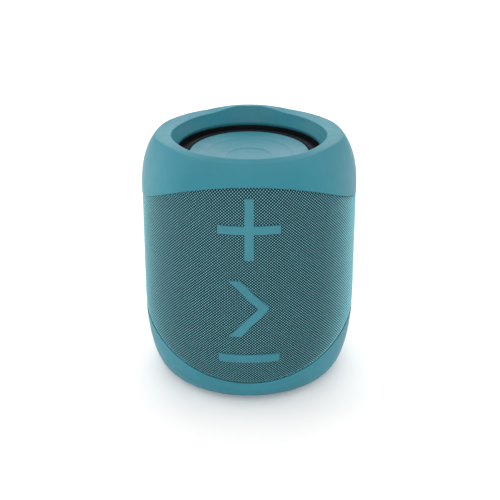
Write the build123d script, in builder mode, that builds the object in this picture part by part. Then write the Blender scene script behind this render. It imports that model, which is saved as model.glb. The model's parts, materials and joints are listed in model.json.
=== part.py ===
from build123d import *
import os
from math import sqrt

# Portable speaker: a round body with a fabric-wrapped middle, a hard cap and
# base, two side-firing drivers and a passive radiator facing up.
# Millimetres, +Z up, front towards -Y, origin on the floor under the centre.

# ---------------------------------------------------------------- body size
body_diameter = 96.0
body_height = 113.0
base_clearance = 1.0  # the hard base stops this far above the floor
base_bulge = 136.0  # radius of the long curve into the base
base_round = 5.0
belly_low = 37.0  # the side is straight between belly_low and belly_high
shoulder_bulge = 77.0
shoulder_drop = 26.0
rim_round = 5.5
body_radius = body_diameter / 2
belly_high = body_height - shoulder_drop

# ---------------------------------------------------------------- seams
seam_reach = body_radius + 4.0
cap_seam_side = body_height - 27.0
cap_seam_end = body_height - 3.4
cap_seam_slope = 0.75
base_seam_side = 29.6
base_seam_end = 6.4
base_seam_slope = -0.62
seam_gap = 0.3

# ---------------------------------------------------------------- skins
fabric_inset = 0.5
fabric_thickness = 0.9
grille_thickness = 1.6
grille_gap = 1.5
cap_wall = 2.0
grille_inset = fabric_inset + fabric_thickness
grille_inner_inset = grille_inset + grille_thickness
grille_slot = 2.4
grille_slot_height = cap_seam_side - base_seam_side - 21.0
grille_slots = 9
grille_slot_step = 6.0
rib_width = 2.4

# ---------------------------------------------------------------- enclosure
tub_radius = body_radius - grille_inner_inset - grille_gap
tub_wall = 2.5
tub_floor_z = 12.0
side_flat = tub_radius - 7.5
end_flat = tub_radius - 5.5
lid_thickness = 3.5
gasket_thickness = 0.5
lid_top_z = body_height - 17.0
lid_bottom_z = lid_top_z - lid_thickness
tub_top_z = lid_bottom_z - gasket_thickness
lid_boss_radius = 3.4
lid_screw_circle = tub_radius - 5.5

# ---------------------------------------------------------------- screws
screw_shank = 1.2
screw_head = 2.3
screw_head_height = 1.5
screw_bite = 7.0
screw_play = 0.05

# ---------------------------------------------------------------- top radiator
recess_mouth = body_radius - 13.7
recess_radius = recess_mouth - 2.3  # at the wall's foot
recess_wall = 1.9
recess_foot_z = body_height - 8.9
recess_lip = 1.6  # the wall is upright over this height, then flares to the mouth
disc_edge_z = body_height - 9.8
disc_thickness = 1.2
disc_dish = 1.8
sheet_thickness = 0.5
surround_gap = 0.3
surround_roll = 1.6
disc_radius = recess_radius - 2 * surround_roll - 2.1
frame_width = 2.9
upstand = 1.5  # closes the gap under the recess wall
weight_radius = 9.0
weight_height = 3.5
cap_post_circle = recess_mouth + recess_wall + 3.0
cap_post_radius = 2.2

# ---------------------------------------------------------------- drivers
driver_size = tub_radius - 1.5
driver_z = (cap_seam_side + base_seam_side) / 2
driver_flange = 2.0
driver_screw_pitch = driver_size - 7.0
cone_radius = driver_size / 2 - 6.5
coil_radius = cone_radius - 5.5
coil_wall = 0.5
magnet_radius = coil_radius + 5.0
cell_radius = 9.2
driver_room = side_flat + gasket_thickness - cell_radius - 5.8  # flange to the cell's side
basket_depth = 0.58 * driver_room
magnet_depth = driver_room - basket_depth
basket_wall = 1.2
terminal_height = 3.0

# ---------------------------------------------------------------- electronics
cell_length = tub_top_z - tub_floor_z - tub_wall - 12.5
board_thickness = 1.6
thin_board = 1.2
standoff = 3.4
main_board_width = tub_radius - 3.5
main_board_height = tub_top_z - tub_floor_z - 18.0
main_board_z = (tub_top_z + tub_floor_z) / 2 + 2.0
main_board_y = end_flat - tub_wall - standoff - board_thickness
board_column = main_board_width / 40  # the board's parts are laid out on 40 columns
board_row = main_board_height / 62  # and 62 rows, counted from its middle
lead_radius = 0.5

# ---------------------------------------------------------------- front icons
icon_stroke = 4.0
plus_size = 0.248 * body_height
plus_width = 26.8
plus_z = body_height - 26.5
minus_z = 24.8
chevron_z = minus_z + 0.4 * (plus_z - minus_z)
chevron_height = 0.239 * body_height
chevron_reach = 12.8
chevron_stroke = 5.2
icon_gap = 0.3
icon_travel = 0.5
button_flange_y = end_flat + 3.8
button_flange = 1.0
button_flange_radius = 6.0

# ---------------------------------------------------------------- rear panel
panel_width = 30.0
panel_low_z = 15.5
panel_high_z = 59.5
panel_inset = 0.4
flap_half_width = 9.9
flap_gap = 0.3
flap_thickness = 1.6
flap_axis_z = 21.5
flap_axis_y = body_radius - panel_inset - flap_thickness - 1.7
flap_top_z = 34.2
flap_barrel = 1.5
flap_pin = 0.7
flap_pin_length = 1.3
socket_z = 28.0
rear_button_radius = 3.6
rear_button_x = 5.5
rear_button_z = 47.0
rear_travel = 0.5
rear_switch_height = 1.2
light_z = 54.5


def sagitta(radius, height):
    """How far an arc that starts upright has moved in after this height."""
    return radius - sqrt(radius**2 - height**2)


def envelope(inset):
    """The whole body as one solid, its surface moved in by inset."""
    radius = body_radius - inset
    bottom = base_clearance + inset
    top = body_height - inset
    foot = radius - sagitta(base_bulge - inset, belly_low - bottom)
    crest = radius - sagitta(shoulder_bulge - inset, top - belly_high)
    with BuildPart(mode=Mode.PRIVATE) as block:
        with BuildSketch(Plane.XZ):
            with BuildLine():
                low = TangentArc((radius, belly_low), (foot, bottom), tangent=(0, -1))
                high = TangentArc((radius, belly_high), (crest, top), tangent=(0, 1))
                Line(low @ 0, high @ 0)
                Polyline(high @ 1, (0, top), (0, bottom), low @ 1)
            make_face()
        revolve(axis=Axis.Z)
        rings = block.edges().filter_by(GeomType.CIRCLE).group_by(Axis.Z)
        fillet(rings[0], base_round - inset)
        rings = block.edges().filter_by(GeomType.CIRCLE).group_by(Axis.Z)
        fillet(rings[-1], rim_round - inset)
    return block.part


def above_seam(side_z, end_z, slope):
    """Everything above a saddle that is side_z high at the sides."""
    third = seam_reach / 3
    with BuildPart(mode=Mode.PRIVATE) as prism:
        with BuildSketch(Plane.YZ):
            with BuildLine():
                half = Bezier(
                    (0, side_z),
                    (third, side_z),
                    (seam_reach - third, end_z - slope * third),
                    (seam_reach, end_z),
                )
                mirror(half, about=Plane.YZ)
                Polyline(
                    (seam_reach, end_z),
                    (seam_reach, body_height + 10),
                    (-seam_reach, body_height + 10),
                    (-seam_reach, end_z),
                )
            make_face()
        extrude(amount=seam_reach, both=True)
    return prism.part


def above_cap_seam(shift=0.0):
    return above_seam(cap_seam_side + shift, cap_seam_end + shift, cap_seam_slope)


def above_base_seam(shift=0.0):
    return above_seam(base_seam_side + shift, base_seam_end + shift, base_seam_slope)


def between_seams():
    """The band the fabric and its frame fill, a gap clear of both seams."""
    return above_base_seam(seam_gap) - above_cap_seam(-seam_gap)


def prism_y(sketch, low_y, high_y):
    """A sketch drawn on the XZ plane, pushed along Y from low_y to high_y."""
    face = Plane.XZ.offset(-low_y) * sketch
    return extrude(face, amount=-(high_y - low_y), mode=Mode.PRIVATE)


def tub_outline(inset):
    """The enclosure's plan: a circle with four flats."""
    radius = tub_radius - inset
    with BuildSketch(mode=Mode.PRIVATE) as plan:
        Circle(radius)
        Rectangle(2 * (side_flat - inset), 2 * (end_flat - inset), mode=Mode.INTERSECT)
    return plan.sketch


def screw(length):
    """A pan-head screw, its head's underside at the origin, pointing down."""
    with BuildPart(mode=Mode.PRIVATE) as one:
        Cylinder(
            screw_head, screw_head_height, align=(Align.CENTER, Align.CENTER, Align.MIN)
        )
        fillet(one.edges().group_by(Axis.Z)[-1], screw_head_height / 3)
        Cylinder(screw_shank, length, align=(Align.CENTER, Align.CENTER, Align.MAX))
    return one.part


def keep(part, name):
    """Labels a finished node and writes its file."""
    part.label = name
    export_step(part, f"parts/{name}.step")


def lead(points, radius, name):
    """An insulated lead along straight runs joined by tangent arcs."""
    path = FilletPolyline(*points, radius=2.4 * lead_radius)
    with BuildPart() as wire:
        with BuildSketch(Plane(origin=path @ 0, z_dir=path % 0)):
            Circle(radius)
        sweep(path=path)
    keep(wire.part, name)


os.makedirs("parts", exist_ok=True)

# ---------------------------------------------------------------- icons
with BuildSketch(mode=Mode.PRIVATE) as plus_icon:
    with Locations((0, plus_z)):
        Rectangle(icon_stroke, plus_size)
        Rectangle(plus_width, icon_stroke)

with BuildSketch(mode=Mode.PRIVATE) as minus_icon:
    with Locations((0, minus_z)):
        Rectangle(plus_width, icon_stroke)

chevron_left = -(chevron_reach + chevron_stroke) / 2
with BuildSketch(mode=Mode.PRIVATE) as play_icon:
    with BuildLine():
        Polyline(
            (chevron_left, chevron_z + chevron_height / 2),
            (chevron_left + chevron_stroke, chevron_z + chevron_height / 2),
            (chevron_left + chevron_stroke + chevron_reach, chevron_z),
            (chevron_left + chevron_stroke, chevron_z - chevron_height / 2),
            (chevron_left, chevron_z - chevron_height / 2),
            (chevron_left + chevron_reach, chevron_z),
            close=True,
        )
    make_face()

icons = [plus_icon.sketch, play_icon.sketch, minus_icon.sketch]

with BuildSketch(mode=Mode.PRIVATE) as panel_shape:
    with Locations((0, (panel_low_z + panel_high_z) / 2)):
        RectangleRounded(panel_width, panel_high_z - panel_low_z, 4.0)


def front_cutters(gap, low_y):
    """The icons grown by a gap, reaching from low_y out past the front."""
    grown = [
        offset(icon, amount=gap, kind=Kind.INTERSECTION, mode=Mode.PRIVATE) for icon in icons
    ]
    return [prism_y(icon, -body_radius - 3, low_y) for icon in grown]


def panel_cutter(gap):
    """The rear panel's outline grown by a gap, as a block through the rear skins."""
    grown = offset(panel_shape.sketch, amount=gap, mode=Mode.PRIVATE)
    return prism_y(grown, end_flat, body_radius + 3)


# ---------------------------------------------------------------- fabric sleeve
band = between_seams()
with BuildPart() as fabric_sleeve:
    add(envelope(fabric_inset))
    add(envelope(grille_inset), mode=Mode.SUBTRACT)
    add(band, mode=Mode.INTERSECT)
    add(front_cutters(icon_gap, 0), mode=Mode.SUBTRACT)
    add(panel_cutter(icon_gap), mode=Mode.SUBTRACT)
keep(fabric_sleeve.part, "fabric_sleeve")

# ---------------------------------------------------------------- grille frame
rib_low = base_seam_side + 2
rib_height = cap_seam_side - base_seam_side - 4
rib_reach = grille_gap + grille_thickness / 2
fan = (grille_slots - 1) * grille_slot_step / 2
with BuildPart() as grille_frame:
    add(envelope(grille_inset))
    add(envelope(grille_inner_inset), mode=Mode.SUBTRACT)
    add(band, mode=Mode.INTERSECT)
    add(front_cutters(icon_gap + 0.1, 0), mode=Mode.SUBTRACT)
    add(panel_cutter(icon_gap + 0.1), mode=Mode.SUBTRACT)
    for side in (0, 180):
        with Locations((0, 0, driver_z)):
            with PolarLocations(
                body_radius,
                grille_slots,
                start_angle=side - fan,
                angular_range=2 * fan,
                endpoint=True,
            ):
                Box(20, grille_slot, grille_slot_height, mode=Mode.SUBTRACT)
    with Locations((0, 0, rib_low)):
        with PolarLocations(tub_radius - 0.2, 4, start_angle=45):
            Box(rib_reach, rib_width, rib_height, align=(Align.MIN, Align.CENTER, Align.MIN))
    add(extrude(tub_outline(0), amount=body_height), mode=Mode.SUBTRACT)
keep(grille_frame.part, "grille_frame")

# ---------------------------------------------------------------- top cap
cap_deck_z = body_height - cap_wall
with BuildPart() as top_cap:
    add(envelope(0))
    add(above_cap_seam(), mode=Mode.INTERSECT)
    add(envelope(cap_wall), mode=Mode.SUBTRACT)
    with BuildSketch(Plane.XY.offset(recess_foot_z)):
        Circle(recess_mouth + recess_wall)
    extrude(amount=cap_deck_z - recess_foot_z)
    with BuildSketch(Plane.XY.offset(lid_top_z)):
        for start in (60, 240):
            with PolarLocations(cap_post_circle, 2, start_angle=start, angular_range=120):
                Circle(cap_post_radius)
    extrude(amount=cap_deck_z - lid_top_z)
    with BuildSketch(Plane.XZ):
        with BuildLine():
            Polyline(
                (0, recess_foot_z),
                (recess_radius, recess_foot_z),
                (recess_radius, recess_foot_z + recess_lip),
                (recess_mouth, body_height),
                (0, body_height),
                close=True,
            )
        make_face()
    revolve(axis=Axis.Z, mode=Mode.SUBTRACT)
    mouth = top_cap.edges().filter_by(GeomType.CIRCLE).group_by(Axis.Z)[-1]
    fillet(mouth.sort_by(SortBy.RADIUS)[0], 0.8)
keep(top_cap.part, "top_cap")

# ---------------------------------------------------------------- base cap
base_floor_z = base_clearance + 3.5
base_post_radius = 4.0
counterbore_z = tub_floor_z - 5.0
foot_outer = body_radius - 12.0
foot_inner = foot_outer - 6.0
base_post_circle = foot_inner - 6.0
foot_top_z = base_clearance + 1.2
with BuildPart() as base_cap:
    add(envelope(0))
    add(above_base_seam(), mode=Mode.SUBTRACT)
    add(envelope(cap_wall), mode=Mode.SUBTRACT)
    with BuildSketch(Plane.XY.offset(base_clearance + cap_wall / 2)):
        Circle(body_radius - 10)
    extrude(amount=base_floor_z - base_clearance - cap_wall / 2)
    with BuildSketch(Plane.XY.offset(base_clearance + cap_wall / 2)):
        with PolarLocations(base_post_circle, 4, start_angle=45):
            Circle(base_post_radius)
    extrude(amount=tub_floor_z - base_clearance - cap_wall / 2)
    with BuildSketch(Plane.XY.offset(base_clearance)):
        Circle(foot_outer + 0.1)
        Circle(foot_inner - 0.1, mode=Mode.SUBTRACT)
    extrude(amount=foot_top_z - base_clearance, mode=Mode.SUBTRACT)
    with Locations((0, 0, tub_floor_z)):
        with PolarLocations(base_post_circle, 4, start_angle=45):
            Cylinder(
                screw_shank + screw_play,
                tub_floor_z,
                align=(Align.CENTER, Align.CENTER, Align.MAX),
                mode=Mode.SUBTRACT,
            )
    with Locations((0, 0, counterbore_z)):
        with PolarLocations(base_post_circle, 4, start_angle=45):
            Cylinder(
                screw_head + 0.3,
                counterbore_z,
                align=(Align.CENTER, Align.CENTER, Align.MAX),
                mode=Mode.SUBTRACT,
            )
keep(base_cap.part, "base_cap")

with BuildPart() as foot_ring:
    with BuildSketch():
        Circle(foot_outer)
        Circle(foot_inner, mode=Mode.SUBTRACT)
    extrude(amount=foot_top_z)
    fillet(foot_ring.edges().group_by(Axis.Z)[0], 0.5)
keep(foot_ring.part, "foot_ring")

with BuildPart() as base_screws:
    with Locations((0, 0, counterbore_z)):
        with PolarLocations(base_post_circle, 4, start_angle=45):
            add(Rot(180, 0, 0) * screw(tub_floor_z - counterbore_z + screw_bite - 3))
keep(base_screws.part, "base_screws")

# ---------------------------------------------------------------- enclosure
tub_inner_z = tub_floor_z + tub_wall
driver_cutout = driver_size / 2 - 1.6
driver_bolts = [
    (along, driver_z + up)
    for along in (-driver_screw_pitch / 2, driver_screw_pitch / 2)
    for up in (-driver_screw_pitch / 2, driver_screw_pitch / 2)
]
board_bolts = [
    (column * board_column, main_board_z + row * board_row)
    for column in (-16.5, 16.5)
    for row in (-26.5, 26.5)
]
board_back_y = main_board_y + board_thickness
front_lead_x = 8.0
front_lead_z = main_board_z - 20 * board_row
rear_lead_z = 38.0
lead_hole = 0.9


def across(y, centres, radius, length):
    """Round bars along Y, centred on each (x, z), starting at y."""
    with BuildPart(mode=Mode.PRIVATE) as bars:
        with BuildSketch(Plane.XZ.offset(-y)):
            with Locations(*centres):
                Circle(radius)
        extrude(amount=-length)
    return bars.part


with BuildPart() as enclosure_tub:
    with BuildSketch(Plane.XY.offset(tub_floor_z)):
        add(tub_outline(0))
    extrude(amount=tub_top_z - tub_floor_z)
    with BuildSketch(Plane.XY.offset(tub_inner_z)):
        add(tub_outline(tub_wall))
    extrude(amount=tub_top_z - tub_inner_z, mode=Mode.SUBTRACT)
    with BuildSketch(Plane.XY.offset(tub_inner_z)):
        with PolarLocations(lid_screw_circle, 4, start_angle=45):
            Circle(lid_boss_radius)
    extrude(amount=tub_top_z - tub_inner_z)
    with BuildSketch(Plane.XY.offset(tub_inner_z)):
        with PolarLocations(base_post_circle, 4, start_angle=45):
            Circle(3.5)
    extrude(amount=4.0)
    add(across(board_back_y, board_bolts, 2.6, end_flat - tub_wall / 2 - board_back_y))
    with Locations((0, 0, tub_top_z)):
        with PolarLocations(lid_screw_circle, 4, start_angle=45):
            Cylinder(
                screw_shank + screw_play,
                screw_bite + 2,
                align=(Align.CENTER, Align.CENTER, Align.MAX),
                mode=Mode.SUBTRACT,
            )
    with Locations((0, 0, tub_floor_z)):
        with PolarLocations(base_post_circle, 4, start_angle=45):
            Cylinder(
                screw_shank + screw_play,
                tub_wall + 3,
                align=(Align.CENTER, Align.CENTER, Align.MIN),
                mode=Mode.SUBTRACT,
            )
    with BuildSketch(Plane.YZ):
        with Locations((0, driver_z)):
            Circle(driver_cutout)
    extrude(amount=body_radius, both=True, mode=Mode.SUBTRACT)
    with BuildSketch(Plane.YZ):
        with Locations(*driver_bolts):
            Circle(screw_shank + screw_play)
    extrude(amount=body_radius, both=True, mode=Mode.SUBTRACT)
    add(across(board_back_y, board_bolts, screw_shank + screw_play, 4.0), mode=Mode.SUBTRACT)
    add(across(end_flat - tub_wall, [(0, rear_lead_z)], lead_hole, tub_wall), mode=Mode.SUBTRACT)
    add(across(-end_flat, [(front_lead_x, front_lead_z)], lead_hole, tub_wall), mode=Mode.SUBTRACT)
keep(enclosure_tub.part, "enclosure_tub")

lid_mouth = disc_radius + 2.0
with BuildPart() as lid_gasket:
    with BuildSketch(Plane.XY.offset(tub_top_z)):
        add(tub_outline(0))
        add(tub_outline(tub_wall - 0.3), mode=Mode.SUBTRACT)
    extrude(amount=gasket_thickness)
keep(lid_gasket.part, "lid_gasket")

with BuildPart() as enclosure_lid:
    with BuildSketch(Plane.XY.offset(lid_bottom_z)):
        add(tub_outline(0))
        Circle(lid_mouth, mode=Mode.SUBTRACT)
        with PolarLocations(lid_screw_circle, 4, start_angle=45):
            Circle(screw_shank + screw_play, mode=Mode.SUBTRACT)
    extrude(amount=lid_thickness)
keep(enclosure_lid.part, "enclosure_lid")

with BuildPart() as lid_screws:
    with Locations((0, 0, lid_top_z)):
        with PolarLocations(lid_screw_circle, 4, start_angle=45):
            add(screw(lid_thickness + gasket_thickness + screw_bite))
keep(lid_screws.part, "lid_screws")

# ---------------------------------------------------------------- top radiator
disc_under_z = disc_edge_z - disc_thickness
sheet_z = disc_under_z - sheet_thickness
dish_radius = disc_radius - 1.5
frame_inner = disc_radius + surround_gap + 2 * surround_roll
with BuildPart() as radiator_frame:
    with BuildSketch(Plane.XY.offset(lid_top_z)):
        Circle(frame_inner + frame_width)
        Circle(frame_inner, mode=Mode.SUBTRACT)
    extrude(amount=sheet_z - lid_top_z)
    with BuildSketch(Plane.XY.offset(lid_top_z)):
        Circle(frame_inner + frame_width + upstand)
        Circle(frame_inner + frame_width, mode=Mode.SUBTRACT)
    extrude(amount=recess_foot_z - seam_gap - lid_top_z)
keep(radiator_frame.part, "radiator_frame")


def half_roll(inner, roll, lip, base, thickness):
    """Section of a rubber surround: two flat lips joined by a half-round roll."""
    centre = inner + roll
    with BuildSketch(mode=Mode.PRIVATE) as section:
        with Locations((centre, base)):
            Circle(roll)
            Circle(roll - thickness, mode=Mode.SUBTRACT)
            Rectangle(
                4 * roll, 2 * roll, align=(Align.CENTER, Align.MAX), mode=Mode.SUBTRACT
            )
        for edge, way in (
            (inner + thickness, Align.MAX),
            (inner + 2 * roll - thickness, Align.MIN),
        ):
            with Locations((edge, base)):
                Rectangle(lip + thickness, thickness, align=(way, Align.MIN))
    return section.sketch


with BuildPart() as radiator_surround:
    with BuildSketch(Plane.XZ):
        add(half_roll(disc_radius + surround_gap, surround_roll, 1.8, sheet_z, sheet_thickness))
    revolve(axis=Axis.Z)
keep(radiator_surround.part, "radiator_surround")

with BuildPart() as radiator_disc:
    with BuildSketch(Plane.XZ):
        with BuildLine():
            dish = TangentArc(
                (0, disc_edge_z - disc_dish), (dish_radius, disc_edge_z), tangent=(1, 0)
            )
            under = TangentArc(
                (0, disc_under_z - disc_dish), (dish_radius, disc_under_z), tangent=(1, 0)
            )
            Polyline(dish @ 1, (disc_radius, disc_edge_z), (disc_radius, disc_under_z), under @ 1)
            Line(dish @ 0, under @ 0)
        make_face()
    revolve(axis=Axis.Z)
keep(radiator_disc.part, "radiator_disc")

with BuildPart() as radiator_weight:
    with BuildSketch(Plane.XY.offset(disc_under_z - disc_dish - weight_height)):
        Circle(weight_radius)
    extrude(amount=weight_height)
    chamfer(radiator_weight.edges().group_by(Axis.Z)[0], 0.8)
keep(radiator_weight.part, "radiator_weight")

# ---------------------------------------------------------------- drivers
flange_back = side_flat + gasket_thickness
flange_front = flange_back + driver_flange
basket_back = flange_back - basket_depth
plate_hole = coil_radius + 2.5
cone_foot = basket_back + 4.0
terminal_x = basket_back + 3.0
terminal_y = magnet_radius + basket_wall + terminal_height
cone_wall = 0.6
coil_front = cone_foot + 2.0
coil_back = basket_back - magnet_depth + 4.0
gap_half = coil_wall / 2 + 0.55
dust_cap_rise = 2.8
driver_lip = 2.0
driver_roll = 1.3
flange_hole = cone_radius + 2 * driver_roll - 0.3


def driver(name, side):
    """One driver facing out along X, on the flat at that side."""
    spin = Axis((0, 0, driver_z), (1, 0, 0))
    section = Plane(origin=(0, 0, driver_z), x_dir=(side, 0, 0), z_dir=(0, -side, 0))
    bolts = [(along, up - driver_z) for along, up in driver_bolts]
    face = Plane(origin=(0, 0, driver_z), x_dir=(0, side, 0), z_dir=(side, 0, 0))

    with BuildPart() as gasket:
        with BuildSketch(face.offset(side_flat)):
            RectangleRounded(driver_size, driver_size, 4)
            Circle(driver_cutout, mode=Mode.SUBTRACT)
            with Locations(*bolts):
                Circle(screw_shank + screw_play, mode=Mode.SUBTRACT)
        extrude(amount=gasket_thickness)
    keep(gasket.part, f"{name}_driver_gasket")

    with BuildPart() as basket:
        with BuildSketch(face.offset(flange_back)):
            RectangleRounded(driver_size, driver_size, 4)
            Circle(flange_hole, mode=Mode.SUBTRACT)
            with Locations(*bolts):
                Circle(screw_shank + screw_play, mode=Mode.SUBTRACT)
        extrude(amount=driver_flange)
        with BuildSketch(section):
            with BuildLine():
                Polyline(
                    (flange_back + driver_flange / 2, flange_hole),
                    (flange_back + driver_flange / 2, driver_cutout - 0.3),
                    (flange_back, driver_cutout - 0.3),
                    (basket_back, magnet_radius + basket_wall),
                    (basket_back, plate_hole),
                    (basket_back + basket_wall, plate_hole),
                    (basket_back + basket_wall, magnet_radius),
                    (flange_back, flange_hole),
                    close=True,
                )
            make_face()
        revolve(axis=spin)
        with Locations((side * terminal_x, magnet_radius + basket_wall, driver_z)):
            Box(5.0, terminal_height, 6.0, align=(Align.CENTER, Align.MIN, Align.CENTER))
    keep(basket.part, f"{name}_driver_basket")

    with BuildPart() as magnet:
        with BuildSketch(section):
            with BuildLine():
                Polyline(
                    (basket_back - magnet_depth, 0),
                    (basket_back - magnet_depth, magnet_radius),
                    (basket_back, magnet_radius),
                    (basket_back, coil_radius + gap_half),
                    (basket_back - magnet_depth + 1.5, coil_radius + gap_half),
                    (basket_back - magnet_depth + 1.5, coil_radius - gap_half),
                    (basket_back, coil_radius - gap_half),
                    (basket_back, 0),
                    close=True,
                )
            make_face()
        revolve(axis=spin)
    keep(magnet.part, f"{name}_driver_magnet")

    with BuildPart() as surround:
        roll = half_roll(cone_radius + 0.2, driver_roll, driver_lip, 0, sheet_thickness)
        with BuildSketch(section):
            add(Pos(flange_front, 0) * Rot(0, 0, 90) * Rot(180, 0, 0) * roll)
        revolve(axis=spin)
    keep(surround.part, f"{name}_driver_surround")

    with BuildPart() as spider:
        with BuildSketch(section):
            with Locations((basket_back + basket_wall, coil_radius + coil_wall / 2)):
                Rectangle(0.4, 4.6, align=(Align.MIN, Align.MIN))
        revolve(axis=spin)
    keep(spider.part, f"{name}_driver_spider")

    with BuildPart() as screws:
        for along, up in driver_bolts:
            seat = Plane(origin=(side * flange_front, along, up), z_dir=(side, 0, 0))
            add(seat * screw(driver_flange + tub_wall))
    keep(screws.part, f"{name}_driver_screws")

    with BuildPart() as coil:
        with BuildSketch(section):
            with Locations((coil_back, coil_radius)):
                Rectangle(
                    coil_front - coil_back, coil_wall, align=(Align.MIN, Align.CENTER)
                )
        revolve(axis=spin)
    keep(coil.part, f"{name}_voice_coil")

    with BuildPart() as cone:
        with BuildSketch(section):
            with BuildLine():
                Polyline(
                    (cone_foot, coil_radius + coil_wall / 2),
                    (cone_foot + cone_wall, coil_radius + coil_wall / 2),
                    (flange_front, cone_radius - cone_wall),
                    (flange_front, cone_radius),
                    (flange_front - cone_wall, cone_radius),
                    close=True,
                )
            make_face()
        revolve(axis=spin)
    keep(cone.part, f"{name}_driver_cone")

    with BuildPart() as dust_cap:
        with BuildSketch(section):
            with BuildLine():
                crown = TangentArc(
                    (coil_front + dust_cap_rise, 0),
                    (coil_front, coil_radius + coil_wall / 2),
                    tangent=(0, 1),
                )
                inner = TangentArc(
                    (coil_front + dust_cap_rise - 0.5, 0),
                    (coil_front, coil_radius - coil_wall / 2),
                    tangent=(0, 1),
                )
                Line(crown @ 0, inner @ 0)
                Line(crown @ 1, inner @ 1)
            make_face()
        revolve(axis=spin)
    keep(dust_cap.part, f"{name}_dust_cap")


driver("left", -1)
driver("right", 1)

# ---------------------------------------------------------------- battery
cup_floor_z = tub_inner_z + 1.5
with BuildPart() as battery_cup:
    with BuildSketch(Plane.XY.offset(tub_inner_z)):
        Circle(cell_radius + 2.0)
    extrude(amount=10.0)
    with BuildSketch(Plane.XY.offset(cup_floor_z)):
        Circle(cell_radius + 0.2)
    extrude(amount=10.0, mode=Mode.SUBTRACT)
keep(battery_cup.part, "battery_cup")

cell_top_z = cup_floor_z + cell_length
with BuildPart() as battery_cell:
    with BuildSketch(Plane.XY.offset(cup_floor_z)):
        Circle(cell_radius)
    extrude(amount=cell_length)
    fillet(battery_cell.edges().filter_by(GeomType.CIRCLE), 0.6)
    with BuildSketch(Plane.XY.offset(cell_top_z)):
        Circle(3.0)
    extrude(amount=1.0)
keep(battery_cell.part, "battery_cell")

# ---------------------------------------------------------------- main board
connector_depth = 4.0
plug_y = main_board_y - connector_depth
driver_plug_x = 14 * board_column
front_plug_x = 15 * board_column
driver_plug_row = (driver_z - main_board_z) / board_row
battery_plug_row = 26
with BuildPart() as main_board:
    with BuildSketch(Plane.XZ.offset(-main_board_y)):
        with Locations((0, main_board_z)):
            Rectangle(main_board_width, main_board_height)
        with Locations(*board_bolts):
            Circle(screw_shank + screw_play, mode=Mode.SUBTRACT)
    extrude(amount=-board_thickness)
keep(main_board.part, "main_board")


def on_board(column, row, columns, rows, depth):
    """Adds a block standing on the main board's inner face, placed on its grid."""
    with Locations((column * board_column, main_board_y, main_board_z + row * board_row)):
        Box(
            columns * board_column,
            depth,
            rows * board_row,
            align=(Align.CENTER, Align.MAX, Align.CENTER),
        )


with BuildPart() as board_connectors:
    on_board(0, battery_plug_row, 6, 5, connector_depth)
    on_board(-14, driver_plug_row, 6, 5, connector_depth)
    on_board(14, driver_plug_row, 6, 5, connector_depth)
    on_board(15, -20, 6, 5, connector_depth)
keep(board_connectors.part, "board_connectors")

capacitors = [
    (column * board_column, main_board_z - 24 * board_row) for column in (-9, -2)
]
with BuildPart() as board_chips:
    on_board(-8, -12, 11, 11, 1.4)
    on_board(-5, 14, 8, 8, 1.2)
    on_board(7, 14, 5, 5, 3.0)
    add(across(main_board_y - 7, capacitors, 2.6 * board_row, 7))
keep(board_chips.part, "board_chips")

with BuildPart() as radio_shield:
    on_board(5, -10, 13, 13, 2.2)
    fillet(radio_shield.edges().filter_by(Axis.Y), 1.0)
keep(radio_shield.part, "radio_shield")

with BuildPart() as board_screws:
    for x, z in board_bolts:
        seat = Plane(origin=(x, main_board_y, z), z_dir=(0, -1, 0))
        add(seat * screw(board_thickness + standoff))
keep(board_screws.part, "board_screws")

# ---------------------------------------------------------------- front buttons
button_board_x = 24.0
with BuildPart() as button_board:
    with BuildSketch(Plane.XZ.offset(end_flat)):
        with Locations((0, tub_top_z - 0.6)):
            Rectangle(button_board_x, tub_top_z - 18.0, align=(Align.CENTER, Align.MAX))
    extrude(amount=thin_board)
keep(button_board.part, "button_board")

icon_heights = [plus_z, chevron_z, minus_z]
switch_y = end_flat + thin_board
with BuildPart() as button_switches:
    for z in icon_heights:
        with Locations((0, -switch_y, z)):
            Box(6, 1.4, 6, align=(Align.CENTER, Align.MAX, Align.CENTER))
    add(across(-button_flange_y + icon_travel + 0.3, [(0, z) for z in icon_heights], 1.6, 1.0))
keep(button_switches.part, "button_switches")


def front_button(icon, height, name):
    """An icon-shaped key with a round flange behind the grille."""
    with BuildPart() as key:
        add(prism_y(icon, -body_radius - 3, -button_flange_y))
        add(envelope(0), mode=Mode.INTERSECT)
        flange_y = -button_flange_y - button_flange
        add(across(flange_y, [(0, height)], button_flange_radius, button_flange))
    keep(key.part, name)


front_button(icons[0], plus_z, "plus_button")
front_button(icons[1], chevron_z, "play_button")
front_button(icons[2], minus_z, "minus_button")

# ---------------------------------------------------------------- rear board
rear_board_low_z = 20.0
rear_board_height = 39.0
rear_face_y = end_flat + thin_board
usb_x = -4.8
usb_width = 9.0
usb_height = 3.2
aux_x = 5.0
aux_radius = 3.2
socket_depth = 4.6
with BuildPart() as rear_board:
    with BuildSketch(Plane.XZ.offset(-end_flat)):
        with Locations((0, rear_board_low_z)):
            Rectangle(21, rear_board_height, align=(Align.CENTER, Align.MIN))
    extrude(amount=-thin_board)
keep(rear_board.part, "rear_board")

rear_keys = [(-rear_button_x, rear_button_z), (rear_button_x, rear_button_z)]
with BuildPart() as rear_switches:
    for x, z in rear_keys:
        with Locations((x, rear_face_y, z)):
            Box(6, rear_switch_height, 6, align=(Align.CENTER, Align.MIN, Align.CENTER))
keep(rear_switches.part, "rear_switches")

with BuildPart() as status_led:
    with Locations((0, rear_face_y, light_z)):
        Box(2, 0.7, 1.4, align=(Align.CENTER, Align.MIN, Align.CENTER))
keep(status_led.part, "status_led")

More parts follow.
